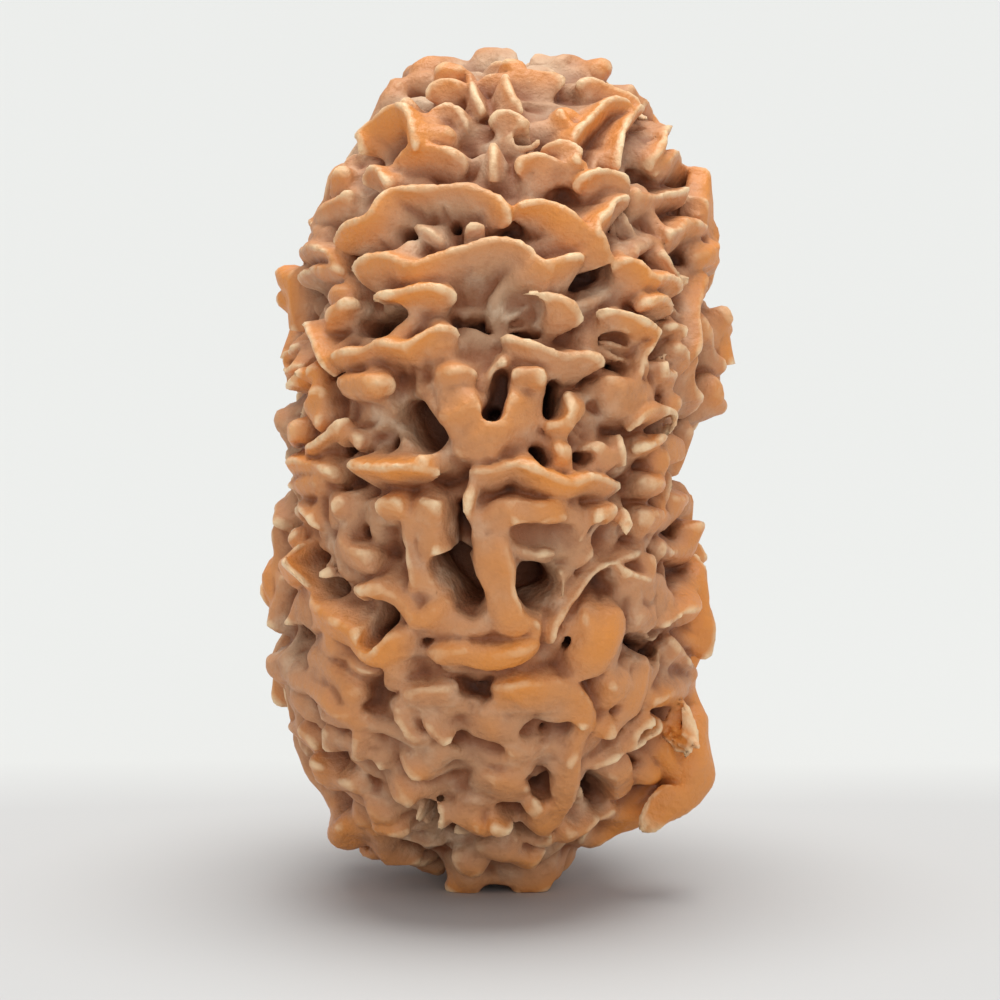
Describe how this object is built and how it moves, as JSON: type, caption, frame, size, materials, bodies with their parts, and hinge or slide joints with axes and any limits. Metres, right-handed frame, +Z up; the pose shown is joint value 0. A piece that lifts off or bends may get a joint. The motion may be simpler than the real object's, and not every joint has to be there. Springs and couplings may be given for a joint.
{
  "type": "rudraksha seed",
  "caption": "Large dried rudraksha seed standing on its rim, with raised sculpted ridges, deep grooves running from pole to pole, dark pits and a hollow at each pole.",
  "frame": {"origin": "on the ground, under the middle of the seed's bounding box", "axes": "+Z up along the longest extent as the seed stands on its rim, +X from pole to pole, which is the shortest extent, -Y towards the pictured side"},
  "size_m": [0.019, 0.0288, 0.0338],
  "materials": {
    "seed_shell": "satin orange-brown crests, matt grey-brown valleys, dark pits"
  },
  "bodies": {
    "root": {"seed": "seed_shell"}
  },
  "joints": []
}
